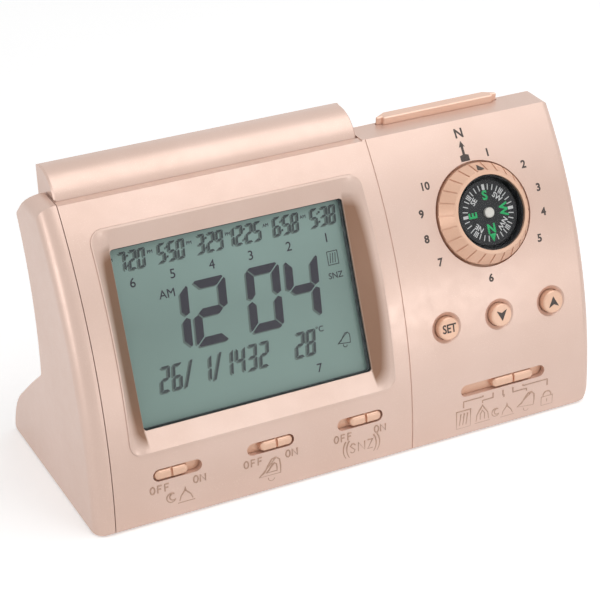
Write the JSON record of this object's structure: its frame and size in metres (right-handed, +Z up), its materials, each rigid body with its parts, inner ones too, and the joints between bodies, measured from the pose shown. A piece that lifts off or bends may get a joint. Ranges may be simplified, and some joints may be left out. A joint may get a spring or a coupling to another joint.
{
  "type": "azan clock",
  "caption": "Leaning table clock with a curved front, recessed display, slide switches, push buttons, a compass selector ring, a snooze bar and a light key.",
  "frame": {"origin": "centre of the clock's plan, on the surface its feet stand on", "axes": "+X to the right seen from the front, +Y from the front to the back, +Z up"},
  "size_m": [0.2, 0.0802, 0.1158],
  "materials": {
    "rose_gold_body": "satin metallic paint over moulded ABS",
    "rose_gold_bezel": "satin metallic paint over moulded ABS",
    "peach_controls": "satin metallic paint",
    "clear_window": "clear, stands in for acrylic",
    "lcd_glass": "polariser green-grey",
    "light_guide": "milky white",
    "foam": "matt",
    "contact_strip": "matt",
    "white_moulding": "matt",
    "circuit_board": "solder mask",
    "black_component": "matt",
    "steel": "zinc plated",
    "spring_steel": "bright",
    "compass_black": "matt",
    "pivot_brass": "bright",
    "hub_cap": "polished",
    "magnet": "ferrite",
    "basket_steel": "zinc plated",
    "cone_paper": "matt",
    "cell_case": "printed sleeve, plain",
    "foot_rubber": "matt"
  },
  "bodies": {
    "clock_body": {"front_housing": "rose_gold_body", "rear_housing": "rose_gold_body", "housing_screws": "steel", "rubber_feet": "foot_rubber", "display_bezel": "rose_gold_bezel", "display_window": "clear_window", "display_gasket": "foam", "lcd_front_glass": "lcd_glass", "lcd_rear_glass": "lcd_glass", "backlight_guide": "light_guide", "lcd_connector": "contact_strip", "lcd_cradle": "white_moulding", "main_board": "circuit_board", "board_chips": "black_component", "board_screws": "steel", "switch_bodies": "basket_steel", "switch_board": "circuit_board", "tact_switches": "black_component", "button_board": "circuit_board", "selector_switch": "black_component", "selector_board": "circuit_board", "snooze_springs": "spring_steel", "key_board": "circuit_board", "key_switches": "black_component", "speaker_frame": "basket_steel", "speaker_cone": "cone_paper", "speaker_magnet": "magnet", "battery_cells": "cell_case", "battery_contacts": "spring_steel"},
    "selector": {"selector_ring": "peach_controls", "compass_capsule": "compass_black", "compass_pivot": "pivot_brass", "compass_lens": "clear_window"},
    "compass_disc": {"compass_card": "compass_black", "compass_hub": "hub_cap"},
    "azan_switch": {"azan_switch_knob": "peach_controls"},
    "alarm_switch": {"alarm_switch_knob": "peach_controls"},
    "snooze_switch": {"snooze_switch_knob": "peach_controls"},
    "mode_switch": {"mode_switch_knob": "peach_controls"},
    "set_key": {"set_button": "peach_controls"},
    "down_key": {"down_button": "peach_controls"},
    "up_key": {"up_button": "peach_controls"},
    "snooze_press_bar": {"snooze_bar": "rose_gold_body"},
    "light_press_key": {"light_key": "rose_gold_body"},
    "battery_cover": {"battery_door": "rose_gold_body"}
  },
  "joints": [
    {"name": "selector_turn", "type": "hinge", "parent": "clock_body", "child": "selector", "pos_m": [0.0615, -0.02048, 0.07917], "axis": [0, 0.8827, -0.47], "range_deg": [0, 300]},
    {"name": "compass_swing", "type": "hinge", "parent": "selector", "child": "compass_disc", "pos_m": [0.0615, -0.02048, 0.07917], "axis": [0, -0.8827, 0.47], "continuous": true},
    {"name": "azan_switch_slide", "type": "slide", "parent": "clock_body", "child": "azan_switch", "axis": [1, 0, 0], "range_m": [0, 0.0045]},
    {"name": "alarm_switch_slide", "type": "slide", "parent": "clock_body", "child": "alarm_switch", "axis": [1, 0, 0], "range_m": [-0.0045, 0]},
    {"name": "snooze_switch_slide", "type": "slide", "parent": "clock_body", "child": "snooze_switch", "axis": [1, 0, 0], "range_m": [-0.0045, 0]},
    {"name": "mode_switch_slide", "type": "slide", "parent": "clock_body", "child": "mode_switch", "axis": [1, 0, 0], "range_m": [-0.0129, 0.0043]},
    {"name": "set_press", "type": "slide", "parent": "clock_body", "child": "set_key", "axis": [0, 0.965, -0.2621], "range_m": [0, 0.0008], "stiffness_N_per_m": 1000, "springref_m": -0.0005},
    {"name": "down_press", "type": "slide", "parent": "clock_body", "child": "down_key", "axis": [0, 0.965, -0.2621], "range_m": [0, 0.0008], "stiffness_N_per_m": 1000, "springref_m": -0.0005},
    {"name": "up_press", "type": "slide", "parent": "clock_body", "child": "up_key", "axis": [0, 0.965, -0.2621], "range_m": [0, 0.0008], "stiffness_N_per_m": 1000, "springref_m": -0.0005},
    {"name": "snooze_press", "type": "slide", "parent": "clock_body", "child": "snooze_press_bar", "axis": [0, 0, -1], "range_m": [0, 0.0012], "stiffness_N_per_m": 1000, "springref_m": -0.001, "deforming": ["snooze_springs"]},
    {"name": "light_press", "type": "slide", "parent": "clock_body", "child": "light_press_key", "axis": [0, 0, -1], "range_m": [0, 0.0012], "stiffness_N_per_m": 1000, "springref_m": -0.0005},
    {"name": "battery_door_slide", "type": "slide", "parent": "clock_body", "child": "battery_cover", "axis": [0, 1, 0], "range_m": [0, 0.036]}
  ]
}
